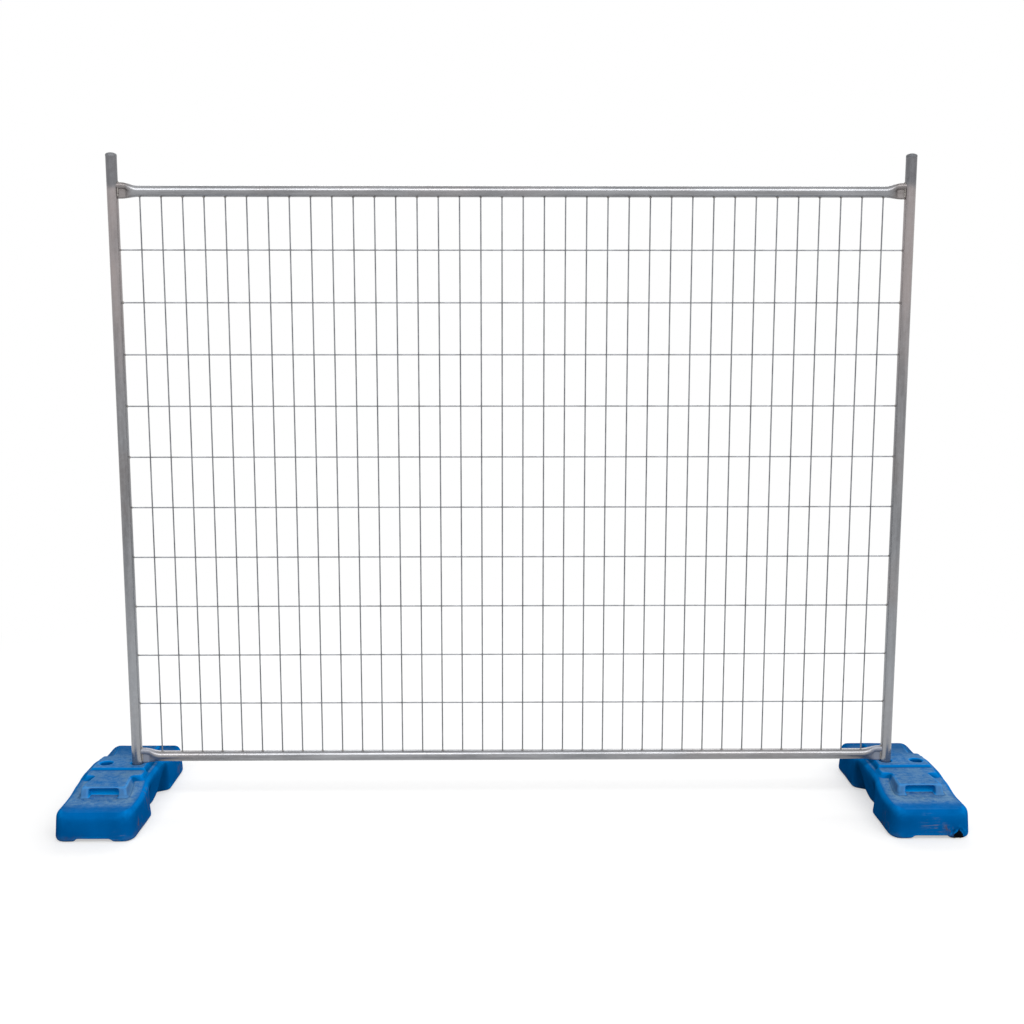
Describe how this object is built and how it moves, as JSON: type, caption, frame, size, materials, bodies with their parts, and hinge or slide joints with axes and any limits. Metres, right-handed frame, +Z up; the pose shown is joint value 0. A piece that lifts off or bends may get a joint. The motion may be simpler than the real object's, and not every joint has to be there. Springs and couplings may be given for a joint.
{
  "type": "temporary fence panel",
  "caption": "Free-standing site fence panel: welded wire mesh in a galvanised tube frame whose posts stand in two moulded, weighted feet that turn about the posts.",
  "frame": {"origin": "on the ground, under the middle of the panel", "axes": "+X along the panel from the left foot to the right foot, +Y through the panel from its front to its rear, +Z up"},
  "size_m": [2.6164, 0.6131, 1.9395],
  "materials": {
    "tube": "hot-dip galvanised, weathered",
    "wire": "galvanised, dull",
    "cap": "zinc plated, dull",
    "foot": "blow-moulded, dusty and scuffed",
    "plug": "moulded",
    "fill": "cast concrete"
  },
  "bodies": {
    "panel": {"left_post": "tube", "right_post": "tube", "top_rail": "tube", "bottom_rail": "tube", "left_post_cap": "cap", "right_post_cap": "cap", "upright_wire_01": "wire", "upright_wire_02": "wire", "upright_wire_03": "wire", "upright_wire_04": "wire", "upright_wire_05": "wire", "upright_wire_06": "wire", "upright_wire_07": "wire", "upright_wire_08": "wire", "upright_wire_09": "wire", "upright_wire_10": "wire", "upright_wire_11": "wire", "upright_wire_12": "wire", "upright_wire_13": "wire", "upright_wire_14": "wire", "upright_wire_15": "wire", "upright_wire_16": "wire", "upright_wire_17": "wire", "upright_wire_18": "wire", "upright_wire_19": "wire", "upright_wire_20": "wire", "upright_wire_21": "wire", "upright_wire_22": "wire", "upright_wire_23": "wire", "upright_wire_24": "wire", "upright_wire_25": "wire", "upright_wire_26": "wire", "upright_wire_27": "wire", "upright_wire_28": "wire", "upright_wire_29": "wire", "upright_wire_30": "wire", "upright_wire_31": "wire", "upright_wire_32": "wire", "upright_wire_33": "wire", "upright_wire_34": "wire", "upright_wire_35": "wire", "upright_wire_36": "wire", "cross_wire_01": "wire", "cross_wire_02": "wire", "cross_wire_03": "wire", "cross_wire_04": "wire", "cross_wire_05": "wire", "cross_wire_06": "wire", "cross_wire_07": "wire", "cross_wire_08": "wire", "cross_wire_09": "wire", "cross_wire_10": "wire"},
    "left_foot": {"left_foot_shell": "foot", "left_foot_fill": "fill", "left_filler_plug": "plug"},
    "right_foot": {"right_foot_shell": "foot", "right_foot_fill": "fill", "right_filler_plug": "plug"}
  },
  "joints": [
    {"name": "left_foot_swivel", "type": "hinge", "parent": "panel", "child": "left_foot", "pos_m": [-1.145, 0, 0], "axis": [0, 0, 1], "continuous": true},
    {"name": "right_foot_swivel", "type": "hinge", "parent": "panel", "child": "right_foot", "pos_m": [1.145, 0, 0], "axis": [0, 0, 1], "continuous": true}
  ]
}
